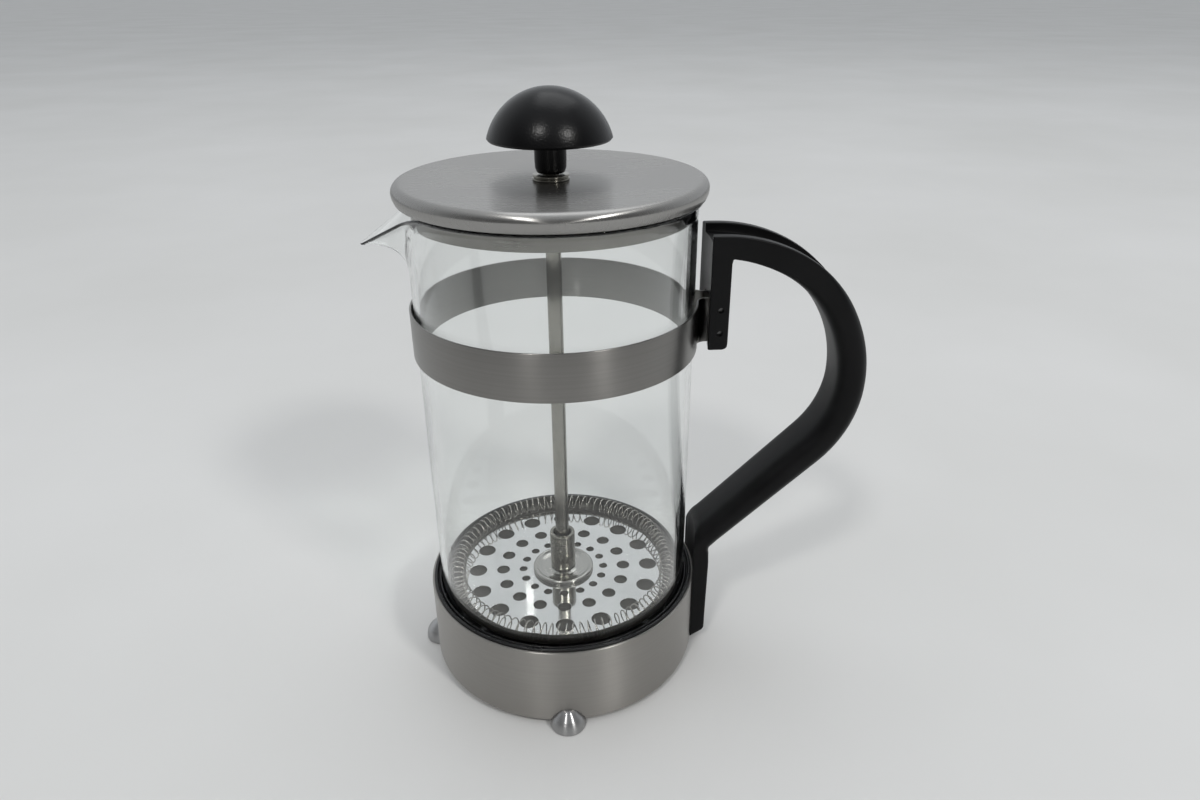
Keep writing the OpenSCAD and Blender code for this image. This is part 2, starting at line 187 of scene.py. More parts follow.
def woven_wire(name):
    """Fine wire cloth, darkened partly by use stains and partly by painted shade of the cup's inside: two crossed
    sets of wires.
    """
    mat, tree, shader = new_material(name)
    shader.inputs["Metallic"].default_value = 1.0
    pitch = 1000.0 / 0.55
    waves = []
    for way in "XYZ":
        node = add(tree, "ShaderNodeTexWave", wave_type="BANDS", bands_direction=way, Scale=0.5, Distortion=0.0)
        tree.links.new(coords(tree, (pitch, pitch, pitch)), node.inputs["Vector"])
        waves.append(node.outputs["Fac"])
    first = add(tree, "ShaderNodeMath", operation="MAXIMUM")
    tree.links.new(waves[0], first.inputs[0])
    tree.links.new(waves[1], first.inputs[1])
    both = add(tree, "ShaderNodeMath", operation="MAXIMUM")
    tree.links.new(first.outputs[0], both.inputs[0])
    tree.links.new(waves[2], both.inputs[1])
    stain = noise(tree, (120, 120, 120), detail=3.0)
    weave = mixed(tree, both.outputs[0], stain, 0.35)
    # near-black colour range: painted shade of the cup's inside, with random stain patches mixed in
    tree.links.new(blend_colours(tree, weave, (0.018, 0.017, 0.015), (0.13, 0.124, 0.112), 0.35, 0.95),
                   shader.inputs["Base Color"])
    shader.inputs["Roughness"].default_value = 0.5
    bump(tree, shader, both.outputs[0], 0.6, 0.08 * MM)
    return mat


def paper(name):
    mat, tree, shader = new_material(name)
    cloud = noise(tree, (3, 3, 3), detail=4.0)
    fibre = noise(tree, (900, 900, 900), detail=3.0)
    tree.links.new(blend_colours(tree, cloud, (0.62, 0.62, 0.61), (0.67, 0.67, 0.665)), shader.inputs["Base Color"])
    shader.inputs["Roughness"].default_value = 0.75
    shader.inputs["Specular IOR Level"].default_value = 0.3
    bump(tree, shader, fibre, 0.2, 0.05 * MM)
    return mat


AROUND_FINE = (10, 10, 5200)
AROUND_COARSE = (5, 5, 1300)
ACROSS_FINE = (6, 2400, 30)
ACROSS_COARSE = (3, 600, 15)
EVEN_FINE = (1800, 1800, 1800)
EVEN_COARSE = (260, 260, 260)

CUP_STEEL = steel("steel_brushed_cup", (0.33, 0.317, 0.298), (0.40, 0.385, 0.365), 0.36, 0.03,
                  (AROUND_FINE, AROUND_COARSE), 0.0008, 0.95, "around", 0.03)
BAND_STEEL = steel("steel_brushed_band", (0.22, 0.213, 0.203), (0.29, 0.282, 0.27), 0.33, 0.04,
                   (AROUND_FINE, AROUND_COARSE), 0.0008, 0.95, "around", 0.04)
LID_STEEL = steel("steel_brushed_across", (0.318, 0.312, 0.302), (0.342, 0.336, 0.326), 0.27, 0.01,
                  (ACROSS_FINE, ACROSS_COARSE), 0.0001, 0.88, (0, 1, 0), 0.012)
POLISHED = steel("steel_polished", (0.40, 0.392, 0.37), (0.50, 0.49, 0.465), 0.20, 0.03,
                 (AROUND_FINE, AROUND_COARSE), 0.001, 0.6, "around", 0.03)
SKIRT_STEEL = steel("steel_skirt", (0.20, 0.195, 0.18), (0.27, 0.262, 0.245), 0.30, 0.03,
                    (AROUND_FINE, AROUND_COARSE), 0.001, 0.6, "around", 0.03)
ROD_STEEL = steel("steel_drawn", (0.28, 0.272, 0.245), (0.36, 0.35, 0.32), 0.18, 0.03,
                  (EVEN_FINE, EVEN_COARSE), 0.002, 0.0, None, 0.04)
PLATE = steel("steel_mirror", (0.72, 0.72, 0.71), (0.80, 0.80, 0.79), 0.09, 0.03,
              (EVEN_FINE, EVEN_COARSE), 0.002, 0.0, None, 0.05)
TURNED = steel("steel_turned", (0.25, 0.241, 0.212), (0.30, 0.29, 0.258), 0.26, 0.02,
               (AROUND_FINE, AROUND_COARSE), 0.0006, 0.9, "around")
FOOT_STEEL = steel("steel_spun", (0.36, 0.36, 0.362), (0.46, 0.46, 0.462), 0.30, 0.04,
                   (AROUND_FINE, AROUND_COARSE), 0.002, 0.95, "spun")
WIRE = steel("steel_wire", (0.30, 0.285, 0.25), (0.62, 0.60, 0.56), 0.22, 0.05,
             (EVEN_FINE, EVEN_COARSE), 0.004, 0.0, None)
FASTENER = steel("steel_fastener", (0.30, 0.30, 0.30), (0.42, 0.42, 0.42), 0.32, 0.05,
                 (EVEN_FINE, EVEN_COARSE), 0.006, 0.0, None)
# the pins' near-black colour is painted shade of the recessed pin holes
PIN_STEEL_PAINTED_SHADE = steel("steel_pin_painted_shade", (0.06, 0.06, 0.06), (0.16, 0.16, 0.16), 0.30, 0.05,
                  (EVEN_FINE, EVEN_COARSE), 0.004, 0.0, None)
BRASS = steel("brass_insert", (0.55, 0.40, 0.18), (0.70, 0.55, 0.28), 0.3, 0.05,
              (AROUND_FINE, AROUND_COARSE), 0.01, 0.0, None)
HANDLE_BLACK = plastic("plastic_handle", (0.003, 0.003, 0.0033), (0.0055, 0.0055, 0.006), 0.38, 0.06,
                       0.35, 0.010, 0.14)
KNOB_BLACK = plastic("plastic_grained", (0.003, 0.003, 0.0035), (0.005, 0.005, 0.0055), 0.25, 0.03,
                     0.60, 0.09, 0.20)
LINER_BLACK = plastic("plastic_liner", (0.0045, 0.0045, 0.005), (0.008, 0.008, 0.0085), 0.30, 0.06,
                      0.30, 0.006, 0.35)
GLASS = clear_glass("glass_clear")
CLOTH = woven_wire("steel_wire_cloth")
PAPER = paper("floor_paper")


# ---------------------------------------------------------------- mesh helpers

def build(name, verts, faces, material, body, nodes=(), sharp=32.0):
    """One finished piece from points in millimetres."""
    mesh = bpy.data.meshes.new(name)
    mesh.from_pydata([tuple(c * MM for c in v) for v in verts], [], faces)
    bm = bmesh.new()
    bm.from_mesh(mesh)
    bmesh.ops.remove_doubles(bm, verts=bm.verts, dist=1e-7)
    bmesh.ops.recalc_face_normals(bm, faces=bm.faces)
    bm.to_mesh(mesh)
    bm.free()
    obj = bpy.data.objects.new(name, mesh)
    bpy.context.scene.collection.objects.link(obj)
    return finish(obj, material, body, nodes, sharp)


def finish(obj, material, body, nodes=(), sharp=32.0):
    obj.data.materials.clear()
    obj.data.materials.append(material)
    obj.data.shade_smooth()
    obj.data.set_sharp_from_angle(angle=math.radians(sharp))
    if body:
        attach(obj, body)
        if nodes:
            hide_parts(*nodes)
    return obj


def arc(c, r, a, b, n=8):
    return [(c[0] + r * math.cos(math.radians(a + (b - a) * i / n)),
             c[1] + r * math.sin(math.radians(a + (b - a) * i / n))) for i in range(n + 1)]


def soften(points, radius, n=3, closed=True):
    """Rounds the corners of a polyline. radius is one number, or one for each point."""
    count = len(points)
    radii = [radius] * count if isinstance(radius, (int, float)) else list(radius)
    out = []
    for i, p in enumerate(points):
        if (not closed and i in (0, count - 1)) or radii[i] <= 0:
            out.append(p)
            continue
        a = np.array(points[i - 1], float)
        b = np.array(p, float)
        c = np.array(points[(i + 1) % count], float)
        u, v = a - b, c - b
        lu, lv = np.linalg.norm(u), np.linalg.norm(v)
        if lu < 1e-9 or lv < 1e-9:
            continue
        u, v = u / lu, v / lv
        half = math.acos(max(-1.0, min(1.0, float(u @ v)))) / 2
        if half > math.radians(88):
            out.append(p)
            continue
        cut = min(radii[i] / math.tan(half), 0.48 * lu, 0.48 * lv)
        s, e = b + u * cut, b + v * cut
        for k in range(n + 1):
            t = k / n
            q = (1 - t) ** 2 * s + 2 * t * (1 - t) * b + t * t * e
            out.append(tuple(q))
    return out


def lathe_mesh(profile, seg, closed=True, at=(0.0, 0.0)):
    """Vertices and faces of a profile of (r, z) turned round the Z axis at a place."""
    verts, rings, faces = [], [], []
    for r, z in profile:
        if abs(r) < 1e-6:
            rings.append([len(verts)] * seg)
            verts.append((at[0], at[1], z))
            continue
        rings.append([len(verts) + i for i in range(seg)])
        for i in range(seg):
            a = TAU * i / seg
            verts.append((at[0] + r * math.cos(a), at[1] + r * math.sin(a), z))
    pairs = list(zip(rings, rings[1:]))
    if closed:
        pairs.append((rings[-1], rings[0]))
    for low, high in pairs:
        for i in range(seg):
            j = (i + 1) % seg
            quad = []
            for v in (low[i], low[j], high[j], high[i]):
                if v not in quad:
                    quad.append(v)
            if len(quad) > 2:
                faces.append(quad)
    return verts, faces


def lathe(name, profile, material, body, nodes=(), seg=160, sharp=32.0):
    closed = not (abs(profile[0][0]) < 1e-6 and abs(profile[-1][0]) < 1e-6)
    verts, faces = lathe_mesh(profile, seg, closed)
    return build(name, verts, faces, material, body, nodes, sharp)


def loft(sections):
    """Vertices and faces of a skin over equal-length closed sections, with both ends closed."""
    verts = [p for s in sections for p in s]
    n, faces = len(sections[0]), []
    count = len(sections)
    for k in range(count - 1):
        a, b = k * n, (k + 1) * n
        for i in range(n):
            j = (i + 1) % n
            faces.append([a + i, a + j, b + j, b + i])
    faces.append(list(range(n))[::-1])
    faces.append([(count - 1) * n + i for i in range(n)])
    return verts, faces


def tube(points, radius, sides):
    """Vertices and faces of a round wire along points, by parallel transport."""
    pts = [Vector(p) for p in points]
    count = len(pts)
    sections, normal = [], None
    for i, p in enumerate(pts):
        before = pts[max(i - 1, 0)]
        after = pts[min(i + 1, count - 1)]
        along = (after - before).normalized()
        if normal is None:
            normal = along.orthogonal().normalized()
        normal = (normal - along * normal.dot(along)).normalized()
        side = along.cross(normal)
        sections.append([tuple(p + (normal * math.cos(TAU * k / sides) + side * math.sin(TAU * k / sides)) * radius)
                         for k in range(sides)])
    return loft(sections)


def cutter(verts, faces):
    mesh = bpy.data.meshes.new("cutter")
    mesh.from_pydata([tuple(c * MM for c in v) for v in verts], [], faces)
    bm = bmesh.new()
    bm.from_mesh(mesh)
    bmesh.ops.recalc_face_normals(bm, faces=bm.faces)
    bm.to_mesh(mesh)
    bm.free()
    obj = bpy.data.objects.new("cutter", mesh)
    bpy.context.scene.collection.objects.link(obj)
    return obj


def box_cutter(low, high):
    verts = [(x, y, z) for z in (low[2], high[2]) for y in (low[1], high[1]) for x in (low[0], high[0])]
    return cutter(verts, [(0, 1, 3, 2), (4, 5, 7, 6), (0, 1, 5, 4), (2, 3, 7, 6), (0, 2, 6, 4), (1, 3, 7, 5)])


def bar_cutter(axis, centre, radius, half, seg=32):
    verts, faces = lathe_mesh([(0, -half), (radius, -half), (radius, half), (0, half)], seg, False)
    turn = {"X": Matrix.Rotation(math.pi / 2, 3, "Y"), "Y": Matrix.Rotation(math.pi / 2, 3, "X"),
            "Z": Matrix.Identity(3)}[axis]
    return cutter([tuple(turn @ Vector(v) + Vector(centre)) for v in verts], faces)


def cut(obj, cutters):
    """Takes the cutters away from obj's mesh."""
    for c in cutters:
        modifier = obj.modifiers.new("cut", "BOOLEAN")
        modifier.operation = "DIFFERENCE"
        modifier.solver = "EXACT"
        modifier.object = c
    graph = bpy.context.evaluated_depsgraph_get()
    graph.update()
    mesh = bpy.data.meshes.new_from_object(obj.evaluated_get(graph))
    obj.modifiers.clear()
    obj.data = mesh
    for c in cutters:
        bpy.data.objects.remove(c)
    return obj


def raw(name, verts, faces):
    obj = cutter(verts, faces)
    obj.name = name
    return obj


# ---------------------------------------------------------------- shared sizes, read from the frame

def top(node):
    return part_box(node)[1].z / MM


def bottom(node):
    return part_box(node)[0].z / MM


CUP_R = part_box("base_cup")[1].y / MM
CUP_TOP = top("base_cup")
CUP_BOTTOM = bottom("base_cup")
LINER_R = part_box("base_liner")[1].y / MM
LINER_Z = bottom("base_liner")
GLASS_R = 49.2
GLASS_T = 2.0
GLASS_Z = bottom("glass_beaker")
RIM_Z = 186.8
RIM_R = 50.6
BAND_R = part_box("upper_band")[1].y / MM
BAND_Z = (bottom("upper_band"), top("upper_band"))
LID_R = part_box("lid_cap")[1].y / MM
LID_TOP = top("lid_cap")
LID_LOW = bottom("lid_cap")
ROD_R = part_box("plunger_rod")[1].y / MM
FOOT_R = 6.7
FOOT_AXIS = CUP_R - 1.1
PIN_X, PIN_HEIGHTS = 57.4, (139.4, 148.0)
SCREW_HEIGHT = 18


# ---------------------------------------------------------------- stand

def make_base_cup():
    t, c = 0.8, 3.0
    profile = [(0, CUP_BOTTOM)] + arc((CUP_R - c, CUP_BOTTOM + c), c, -90, 0, 10)
    profile += soften([(CUP_R, CUP_TOP - 4), (CUP_R, CUP_TOP), (CUP_R - t, CUP_TOP), (CUP_R - t, CUP_TOP - 4)],
                      [0, 0.75, 0.02, 0], 6, False)
    profile += arc((CUP_R - c, CUP_BOTTOM + c), c - t, 0, -90, 10) + [(0, CUP_BOTTOM + t)]
    lathe("base_cup_shell", profile, CUP_STEEL, "stand", ["base_cup"], 200)


def make_base_liner():
    lip = 49.65
    outline = [
        (LINER_R, LINER_Z + 2), (LINER_R, CUP_TOP + 0.9), (LINER_R - 1.1, CUP_TOP + 0.9),
        (LINER_R - 1.4, CUP_TOP - 0.6), (lip + 1.0, CUP_TOP - 0.6), (lip + 0.7, CUP_TOP + 0.5),
        (lip, CUP_TOP + 0.5), (lip, CUP_TOP - 3), (LINER_R - 2, CUP_TOP - 4.2), (LINER_R - 2, LINER_Z + 2.2),
    ]
    radii = [1.0, 0.35, 0.35, 0.2, 0.2, 0.3, 0.3, 0.3, 0.5, 0.6]
    ring = soften([(0, LINER_Z), (LINER_R - 2, LINER_Z)] + outline + [(0, LINER_Z + 2.2)],
                  [0, 0.6] + radii + [0], 4, False)
    lathe("base_liner_ring", ring, LINER_BLACK, "stand", ["base_liner"], 200)


def make_foot(name, angle):
    """A spun cone with a rounded flank, cut to the cup's wall. Its own origin is on its axis."""
    r, h = FOOT_R, top(name)
    a = math.radians(angle)
    at = Vector((FOOT_AXIS * math.cos(a), FOOT_AXIS * math.sin(a), 0))
    flank = [(1, 0.13), (0.985, 0.27), (0.95, 0.4), (0.89, 0.52),
             (0.79, 0.65), (0.66, 0.77), (0.52, 0.89), (0.4, 0.97)]
    points = [(0, 0), (r - 0.35, 0), (r, 0.4)] + [(r * x, h * z) for x, z in flank] + [(r * 0.3, h), (0, h)]
    profile = soften(points, [0, 0.3, 0.3] + [1.2] * (len(flank) - 1) + [0.6, 0.5, 0], 4, False)
    verts, faces = lathe_mesh(profile, 72, False, (at.x, at.y))
    obj = raw(name + "_cone", verts, faces)
    cut(obj, [bar_cutter("Z", (0, 0, 0), CUP_R + 0.02, 60, 256)])
    obj.data.transform(Matrix.Translation(-at * MM))
    obj.location = at * MM
    finish(obj, FOOT_STEEL, "stand", [name], 40)


def make_band():
    """A strip bent round the glass, then outward into two tabs inside the handle."""
    t, z0, z1 = 0.7, BAND_Z[0], BAND_Z[1]
    r = BAND_R - t / 2
    tab = 3.5 + t / 2
    bend = 3.5 + t / 2
    cy = tab + bend
    cx = math.sqrt((r + bend) ** 2 - cy ** 2)
    a0 = math.degrees(math.asin(cy / (r + bend)))
    half = []
    end_x = 58.5
    for x in np.linspace(end_x, cx, 6)[:-1]:
        half.append(((x, tab), (0, 1)))
    for i in range(15):
        a = math.radians(-90 - (90 - a0) * i / 14)
        half.append(((cx + bend * math.cos(a), cy + bend * math.sin(a)), (-math.cos(a), -math.sin(a))))
    ring = []
    steps = 260
    for i in range(1, steps):
        a = math.radians(a0 + (360 - 2 * a0) * i / steps)
        ring.append(((r * math.cos(a), r * math.sin(a)), (math.cos(a), math.sin(a))))
    other = [((p[0], -p[1]), (n[0], -n[1])) for p, n in half[::-1]]
    section = soften([(-t / 2, z0), (t / 2, z0), (t / 2, z1), (-t / 2, z1)], 0.22, 3)
    sections = [[(p[0] + n[0] * u, p[1] + n[1] * u, z) for u, z in section] for p, n in half + ring + other]
    verts, faces = loft(sections)
    build("band_strip", verts, faces, BAND_STEEL, "stand", ["upper_band"], 40)


OUTER_C, OUTER_R = (57.4, 117.6), 56.6
INNER_C, INNER_R = (54.5, 118.2), 48.2
STRIP_IN, STRIP_OUT, STRIP_LOW = 53.2, 60.6, 133.2
STRIP_TOP = OUTER_C[1] + OUTER_R
TAB_FACE_R = CUP_R + 0.05
TAB_IN, TAB_OUT, TAB_OUT_LOW, TAB_LOW = TAB_FACE_R - 1.4, 58.6, 58.2, 2.0
CHANNEL_C, CHANNEL_R, CHANNEL_HALF = (53.2, STRIP_TOP - 3.2 - 76.5), 76.5, 7.5


def leg_arc(x, z, point, slope):
    """Radius of the arc from a vertical tangent at x, z into the line through point with a slope in degrees."""
    s, c = math.sin(math.radians(slope)), math.cos(math.radians(slope))
    return ((point[0] - x) * s - (point[1] - z) * c) / (1 - s)


def ease(t):
    t = max(0.0, min(1.0, t))
    return t * t * (3 - 2 * t)


def handle_stations():
    """Pairs of points, away from the fingers and towards them, with the two corner radii and an inset."""
    out = []
    start = math.degrees(math.acos((STRIP_OUT - INNER_C[0]) / INNER_R))
    pivot_z = INNER_C[1] + INNER_R * math.sin(math.radians(start))
    edge, fine, grip_out, grip_in = 1.0, 0.6, 5.0, 5.1
    for dz, inset in ((0.0, 1.0), (0.35, 0.45), (1.0, 0.12), (2.2, 0.0)):
        out.append(((STRIP_IN + inset * 0.4, STRIP_LOW + dz), (STRIP_OUT - inset * 1.2, STRIP_LOW + dz),
                    fine, edge, inset * 0.5))
    for z in np.linspace(STRIP_LOW + 5, pivot_z - 1.5, 10):
        out.append(((STRIP_IN, z), (STRIP_OUT, z), fine, edge, 0.0))
    corner = soften([(STRIP_IN, pivot_z), (STRIP_IN, STRIP_TOP), (OUTER_C[0], STRIP_TOP)], [0, 0.7, 0], 6, False)
    k = len(corner)
    for i, p in enumerate(corner):
        a = math.radians(start - 4.0 * (i + 1) / (k + 1))
        q = (INNER_C[0] + INNER_R * math.cos(a), INNER_C[1] + INNER_R * math.sin(a))
        out.append((p, q, fine, edge, 0.0))
    a1, n = start - 4.0, 40
    for i in range(1, n + 1):
        f = i / n
        a, b = math.radians(a1 * (1 - f)), math.radians(90 * (1 - f))
        p = (OUTER_C[0] + OUTER_R * math.cos(b), OUTER_C[1] + OUTER_R * math.sin(b))
        q = (INNER_C[0] + INNER_R * math.cos(a), INNER_C[1] + INNER_R * math.sin(a))
        g, h = ease((f - 0.36) / 0.42), ease((f - 0.08) / 0.5)
        out.append((p, q, fine + (grip_out - fine) * g, edge + (grip_in - edge) * h, 0.0))
    in_x, out_x = INNER_C[0] + INNER_R, OUTER_C[0] + OUTER_R
    in_point, in_slope = (TAB_IN, TAB_IN + 1.2), 45
    out_point, out_slope = (TAB_OUT, 45.1), 43.5
    in_r = leg_arc(in_x, INNER_C[1], in_point, in_slope)
    out_r = leg_arc(out_x, OUTER_C[1], out_point, out_slope)
    for i in range(1, 13):
        a, b = math.radians((out_slope - 90) * i / 12), math.radians((in_slope - 90) * i / 12)
        p = (out_x - out_r + out_r * math.cos(a), OUTER_C[1] + out_r * math.sin(a))
        q = (in_x - in_r + in_r * math.cos(b), INNER_C[1] + in_r * math.sin(b))
        out.append((p, q, grip_out, grip_in, 0.0))
    shoulder = 12.0
    sc = (TAB_IN + shoulder, in_point[1] + shoulder - shoulder * math.sqrt(2))
    s0 = (sc[0] - shoulder * math.sqrt(0.5), sc[1] + shoulder * math.sqrt(0.5))
    p0, q0 = out[-1][0], out[-1][1]
    knee = soften([(out_point[0] + 4, out_point[1] + 3.8), out_point, (TAB_OUT, out_point[1] - 5)],
                  [0, 1.6, 0], 8, False)
    for i in range(1, 17):
        f = i / 16
        p = (p0[0] + (knee[0][0] - p0[0]) * f, p0[1] + (knee[0][1] - p0[1]) * f)
        q = (q0[0] + (s0[0] - q0[0]) * f, q0[1] + (s0[1] - q0[1]) * f)
        out.append((p, q, grip_out, grip_in, 0.0))
    knee = knee[1:]
    for i, p in enumerate(knee):
        f = (i + 1) / len(knee)
        a = math.radians(135 + 45 * f)
        q = (sc[0] + shoulder * math.cos(a), sc[1] + shoulder * math.sin(a))
        out.append((p, q, 1.2 + (grip_out - 1.2) * (1 - f) ** 0.8, 0.5 + (grip_in - 0.5) * (1 - f) ** 0.7, 0.0))
    p1, q1 = out[-1][0], out[-1][1]
    for i in range(1, 12):
        f = i / 11
        p = (p1[0] + (TAB_OUT_LOW - p1[0]) * f, p1[1] + (TAB_LOW + 6.0 - p1[1]) * f)
        q = (TAB_IN, q1[1] + (TAB_LOW + 1.8 - q1[1]) * f)
        out.append((p, q, 1.0, 0.4, 0.0))
    out.append(((TAB_OUT_LOW, TAB_LOW + 4.9), (TAB_IN, TAB_LOW + 0.8), 1.0, 0.4, 0.0))
    out.append(((TAB_OUT_LOW - 0.35, TAB_LOW + 4.1), (TAB_IN, TAB_LOW + 0.25), 1.0, 0.4, 0.15))
    out.append(((TAB_OUT_LOW - 1.0, TAB_LOW + 3.5), (TAB_IN, TAB_LOW), 1.0, 0.4, 0.5))
    return out


def handle_section(p, q, r_out, r_in, inset):
    """A closed rounded section between p and q across the handle's width."""
    p, q = np.array(p), np.array(q)
    thick = float(np.linalg.norm(q - p))
    way = (q - p) / thick
    w = 11.0 - inset
    r_out, r_in = min(r_out, 0.48 * thick), min(r_in, 0.48 * thick)
    n = 7
    half = [((w - r_out) * k / 4, 0.0) for k in range(4)]
    for i in range(n + 1):
        a = math.pi / 2 * i / n
        half.append((w - r_out * (1 - math.sin(a)), r_out * (1 - math.cos(a))))
    for i in range(n + 1):
        a = math.pi / 2 * i / n
        half.append((w - r_in * (1 - math.cos(a)), thick - r_in * (1 - math.sin(a))))
    half += [((w - r_in) * k / 4, thick) for k in (3, 2, 1, 0)]
    bowed, mid = [], thick / 2
    for y, d in half:
        drop = 0.12 * (r_out if d < mid else r_in) * (y / w) ** 2
        bowed.append((y, d + drop * (1 if d < mid else -1) * (abs(d - mid) / mid)))
    full = bowed + [(-y, d) for y, d in bowed[-2:0:-1]]
    return [(p[0] + way[0] * d, y, p[1] + way[1] * d) for y, d in full]


def channel_cutter():
    """The shallow channel along the top of the grip, open to the beaker's side, with chamfered lips."""
    sections = []
    for x in [50.0, 51.5, 52.6, 53.2] + [53.2 + 1.1 * k for k in range(1, 48)]:
        rel = x - OUTER_C[0]
        up = OUTER_C[1] + math.sqrt(OUTER_R ** 2 - max(0.0, rel) ** 2)
        floor = CHANNEL_C[1] + math.sqrt(CHANNEL_R ** 2 - (x - CHANNEL_C[0]) ** 2)
        depth = max(up - floor, -2.0)
        lip = 0.35 * max(0.0, min(1.0, depth / 0.8))
        w = CHANNEL_HALF
        half = [(0.0, floor), (w - 0.9, floor), (w - 0.25, floor + 0.22), (w, floor + 0.8),
                (w, max(up - lip, floor + 0.9)), (w + lip, max(up, floor + 1.0)),
                (w + lip + 1.5, max(up, floor + 1.0) + 1.5),
                (w + 1.5, max(up, floor) + 9), (0.0, max(up, floor) + 9)]
        full = half + [(-y, z) for y, z in half[-2:0:-1]]
        sections.append([(x, y, z) for y, z in full])
    return cutter(*loft(sections))


def make_handle():
    sections = [handle_section(*s) for s in handle_stations()]
    verts, faces = loft(sections)
    obj = raw("handle_grip", verts, faces)
    cutters = [
        bar_cutter("Z", (0, 0, 154), 54.4, 22, 256),
        bar_cutter("Z", (0, 0, 31), TAB_FACE_R, 30, 256),
        channel_cutter(),
        box_cutter((50, -4.35, 132), (58.9, 4.35, 151)),
        bar_cutter("X", (56, 0, SCREW_HEIGHT), 1.55, 8),
        bar_cutter("X", (58.6, 0, SCREW_HEIGHT), 3.0, 2.0),
        bar_cutter("Z", (FOOT_AXIS, 0, 0), FOOT_R + 0.5, 8.4, 64),
    ]
    for z in PIN_HEIGHTS:
        cutters.append(bar_cutter("Y", (PIN_X, 0, z), 1.02, 14))
    cut(obj, cutters)
    finish(obj, HANDLE_BLACK, "stand", ["handle"], 34)


# ---------------------------------------------------------------- glass

def smooth_max(a, b, k):
    h = max(0.0, min(1.0, 0.5 + 0.5 * (a - b) / k))
    return b + (a - b) * h + k * h * (1 - h)


def smooth_min(a, b, k):
    return -smooth_max(-a, -b, k)


def glass_column(phi):
    """Outer wall of the glass from the straight wall to the lip, at an angle phi from the spout, as (r, z)."""
    c, s = math.cos(phi), math.sin(abs(phi))
    rho = RIM_R
    if c > 0.5:
        slope, corner = 1.0136, 66.0
        line = slope * corner / (s + slope * c)
        if abs(phi) < 0.042:
            t = abs(phi) / 0.042
            tip, side = 64.7, slope * corner / (math.sin(0.042) + slope * math.cos(0.042))
            line = tip + (side - tip) * t * t
        rho = smooth_max(line, RIM_R, 1.2)
    lip_z = smooth_min(172 + 0.64 * (64.7 - rho * c), RIM_Z, 2.4) if c > 0.5 else RIM_Z
    lip_z -= 0.75
    leave = RIM_Z - 1.6
    if c > 0.5:
        x, y = GLASS_R * c, GLASS_R * s
        w = 1.0136 * (66 - x)
        ratio = min(1.0, y / w) if w > 0 else 1.0
        leave = smooth_min(161 + (lip_z - 161) * ratio ** 1.8, RIM_Z - 1.6, 2.0)
    start = min(leave - 4.0, RIM_Z - 5.4)
    out = rho - GLASS_R
    q = min(1.0, out / 15.5)
    p0 = np.array((GLASS_R, start))
    p1 = np.array((GLASS_R + 0.15, start + 0.74 * (lip_z - start)))
    p2 = np.array((GLASS_R + 0.28 * out, lip_z - 0.9 * (1 - q) + 0.5 * q))
    p3 = np.array((rho, lip_z))
    pts = []
    for i in range(1, 21):
        t = i / 20
        pts.append(tuple((1 - t) ** 3 * p0 + 3 * t * (1 - t) ** 2 * p1 + 3 * t * t * (1 - t) * p2 + t ** 3 * p3))
    return start, pts


def make_beaker():
    angles = []
    phi = 0.0
    while phi < math.radians(180):
        angles.append(phi)
        deg = math.degrees(phi)
        phi += math.radians(0.35 if deg < 4 else 0.8 if deg < 32 else 1.6)
    angles = [-a for a in angles[:0:-1]] + angles
    if TAU - (angles[-1] - angles[0]) < math.radians(0.8):
        angles.pop()
    corner = 7.0
    outer, starts = [], []
    for phi in angles:
        start, pts = glass_column(phi)
        column = arc((GLASS_R - corner, GLASS_Z + corner), corner, -90, 0, 12)
        for i in range(1, 15):
            column.append((GLASS_R, GLASS_Z + corner + (start - GLASS_Z - corner) * i / 14))
        outer.append([(r * math.cos(math.pi + phi), r * math.sin(math.pi + phi), z) for r, z in column + pts])
    grid = np.array(outer)
    n_col, n_row = grid.shape[:2]
    around = np.roll(grid, -1, 0) - np.roll(grid, 1, 0)
    along = np.gradient(grid, axis=1)
    normal = np.cross(around, along)
    normal /= np.linalg.norm(normal, axis=2)[:, :, None]
    radial = grid.copy()
    radial[:, :, 2] = 0
    if (normal[n_col // 2, 20] * radial[n_col // 2, 20]).sum() < 0:
        normal = -normal
    thick = np.full((n_col, n_row), GLASS_T)
    reach_out = np.hypot(grid[:, -1, 0], grid[:, -1, 1])
    tip = np.clip((reach_out - RIM_R) / 14.0, 0, 1)
    rows = np.clip((np.arange(n_row) - 27) / 19.0, 0, 1)
    thick -= 0.25 * tip[:, None] * rows[None, :] ** 0.7
    thick -= 1.05 * rows[None, :]
    inner = grid - normal * thick[:, :, None]
    bead = []
    for k in range(1, 7):
        a = math.pi * k / 7
        mid = (grid[:, -1] + inner[:, -1]) / 2
        half = (grid[:, -1] - inner[:, -1]) / 2
        up = np.cross(half, np.cross(along[:, -1], half))
        up /= np.linalg.norm(up, axis=1)[:, None]
        size = np.linalg.norm(half, axis=1)[:, None]
        bead.append(mid + half * math.cos(a) + up * size * 1.1 * math.sin(a))
    skin = np.concatenate([grid, np.stack(bead, 1), inner[:, ::-1]], 1)
    verts = [tuple(p) for p in skin.reshape(-1, 3)]
    rows_n = skin.shape[1]
    faces = []
    for c in range(n_col):
        d = (c + 1) % n_col
        for k in range(rows_n - 1):
            faces.append([c * rows_n + k, d * rows_n + k, d * rows_n + k + 1, c * rows_n + k + 1])
    for k in (0, rows_n - 1):
        z = skin[0, k, 2]
        centre = len(verts)
        verts.append((0, 0, float(z)))
        for c in range(n_col):
            faces.append([c * rows_n + k, ((c + 1) % n_col) * rows_n + k, centre])
    build("beaker_glass", verts, faces, GLASS, "beaker", ["glass_beaker"], 60)


# ---------------------------------------------------------------- lid

